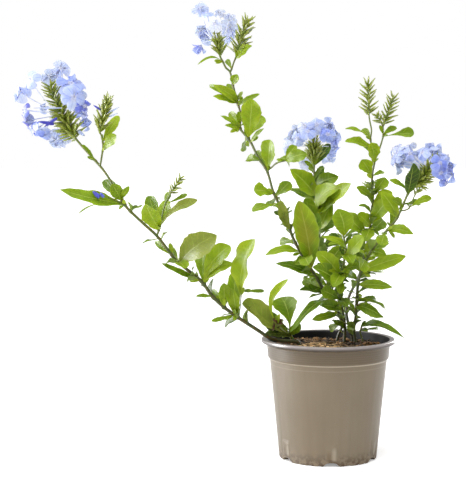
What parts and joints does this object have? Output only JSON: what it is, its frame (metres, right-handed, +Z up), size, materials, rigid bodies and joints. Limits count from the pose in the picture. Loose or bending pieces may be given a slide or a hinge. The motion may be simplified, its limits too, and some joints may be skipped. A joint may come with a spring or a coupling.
{
  "type": "potted flowering plant",
  "caption": "Potted cape leadwort: tapered nursery pot, bark compost, arching leafy branches, pale blue flower heads and green bud spikes.",
  "frame": {"origin": "middle of the flat pad under the pot, on the surface that the pot stands on", "axes": "+Z up along the pot's axis; -Y towards the viewer of the picture; +X to the viewer's right, so the long branch leans towards -X"},
  "size_m": [0.4852, 0.1799, 0.51],
  "materials": {
    "pot_plastic": "smooth taupe thermoformed nursery pot plastic with a soft sheen",
    "bark_compost": "rough damp potting compost with orange brown bark crumbs",
    "leaf_green": "satin living leaves, bright yellow green, paler underneath, on olive stems",
    "petal_blue": "matt thin petals, pale sky blue with a darker line along each lobe",
    "bud_green": "ribbed glandular calyces, olive green"
  },
  "bodies": {
    "root": {"pot": "pot_plastic", "compost": "bark_compost", "left_branch": "leaf_green", "left_flowers": "petal_blue", "left_buds": "bud_green", "basal_left_shoot": "leaf_green", "middle_branch": "leaf_green", "top_flowers": "petal_blue", "top_buds": "bud_green", "middle_head_stem": "leaf_green", "middle_flowers": "petal_blue", "middle_buds": "bud_green", "centre_shoot": "leaf_green", "tall_bud_stem": "leaf_green", "right_branch": "leaf_green", "right_flowers": "petal_blue", "right_buds": "bud_green", "low_right_shoot": "leaf_green"}
  },
  "joints": []
}
